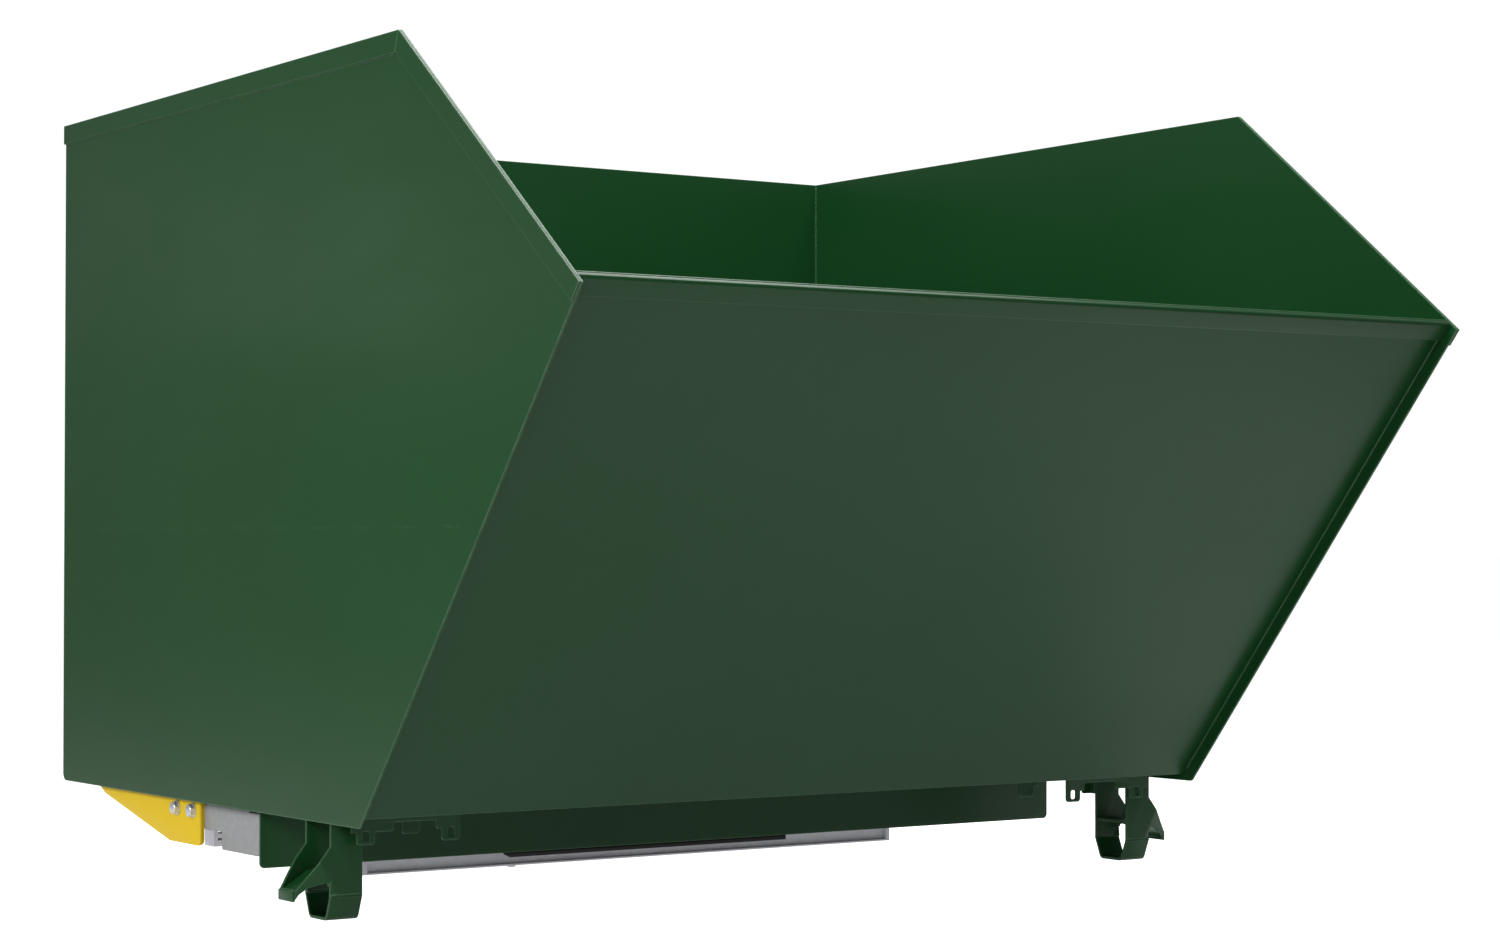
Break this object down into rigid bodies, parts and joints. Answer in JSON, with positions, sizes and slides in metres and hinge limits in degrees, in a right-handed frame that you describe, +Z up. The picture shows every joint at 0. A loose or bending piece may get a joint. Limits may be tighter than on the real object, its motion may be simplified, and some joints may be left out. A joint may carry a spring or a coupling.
{
  "type": "grain intake hopper",
  "caption": "Hook-on gravity grain hopper of sheet steel with high end panels, a low front loading lip, a self-emptying funnel and a horizontal slide gate.",
  "frame": {"origin": "centre of the outlet frame's four corner bolt holes, on the frame's bottom bolting face", "axes": "+X to the object's right seen from the loading side, +Y from the loading lip towards the back wall, +Z up"},
  "size_m": [2.114, 2.189, 1.597],
  "materials": {
    "green_paint": "satin powder coat",
    "yellow_paint": "satin powder coat",
    "galvanised_steel": "hot-dip galvanised, matt",
    "zinc_plate": "bright zinc plated",
    "black_paint": "satin black"
  },
  "bodies": {
    "hopper": {"left_end_panel": "green_paint", "right_end_panel": "green_paint", "front_panel": "green_paint", "back_panel": "green_paint", "left_top_rim": "green_paint", "right_top_rim": "green_paint", "left_slope_rim": "green_paint", "right_slope_rim": "green_paint", "front_rim": "green_paint", "back_rim": "green_paint", "back_ribs": "green_paint", "front_floor": "green_paint", "left_floor": "green_paint", "right_floor": "green_paint", "front_chute_plate": "green_paint", "back_chute_plate": "green_paint", "left_chute_plate": "green_paint", "right_chute_plate": "green_paint", "left_base_angle": "green_paint", "right_base_angle": "green_paint", "front_cross_angle": "green_paint", "left_front_saddle": "green_paint", "left_rear_saddle": "green_paint", "right_front_saddle": "green_paint", "right_rear_saddle": "green_paint", "left_hook_strap": "green_paint", "right_hook_strap": "green_paint", "left_hook_floor": "green_paint", "right_hook_floor": "green_paint", "left_hook_tip": "green_paint", "right_hook_tip": "green_paint", "left_hook_pad": "green_paint", "right_hook_pad": "green_paint", "left_hook_gusset": "green_paint", "right_hook_gusset": "green_paint", "front_skirt": "green_paint", "left_guard_plate": "yellow_paint", "right_guard_plate": "yellow_paint", "left_guard_backing": "yellow_paint", "right_guard_backing": "yellow_paint", "left_end_plate": "galvanised_steel", "right_end_plate": "galvanised_steel", "outlet_pan": "galvanised_steel", "outlet_front_rail": "galvanised_steel", "outlet_rear_rail": "galvanised_steel", "left_rail_caps": "galvanised_steel", "right_rail_caps": "galvanised_steel", "left_gate_guide": "galvanised_steel", "right_gate_guide": "galvanised_steel", "guard_bolts": "zinc_plate", "guard_washers": "zinc_plate", "guard_nuts": "zinc_plate", "base_bolts": "zinc_plate", "base_nuts": "zinc_plate", "frame_bolts": "zinc_plate", "frame_nuts": "zinc_plate"},
    "gate": {"slide_gate": "black_paint"},
    "lock_screw": {"gate_lock_screw": "zinc_plate"}
  },
  "joints": [
    {"name": "gate_slide", "type": "slide", "parent": "hopper", "child": "gate", "axis": [0, -1, 0], "range_m": [0, 0.63]},
    {"name": "lock_turn", "type": "hinge", "parent": "hopper", "child": "lock_screw", "pos_m": [-0.3, -0.35, 0.01], "axis": [0, 0, 1], "range_deg": [0, 360]}
  ]
}
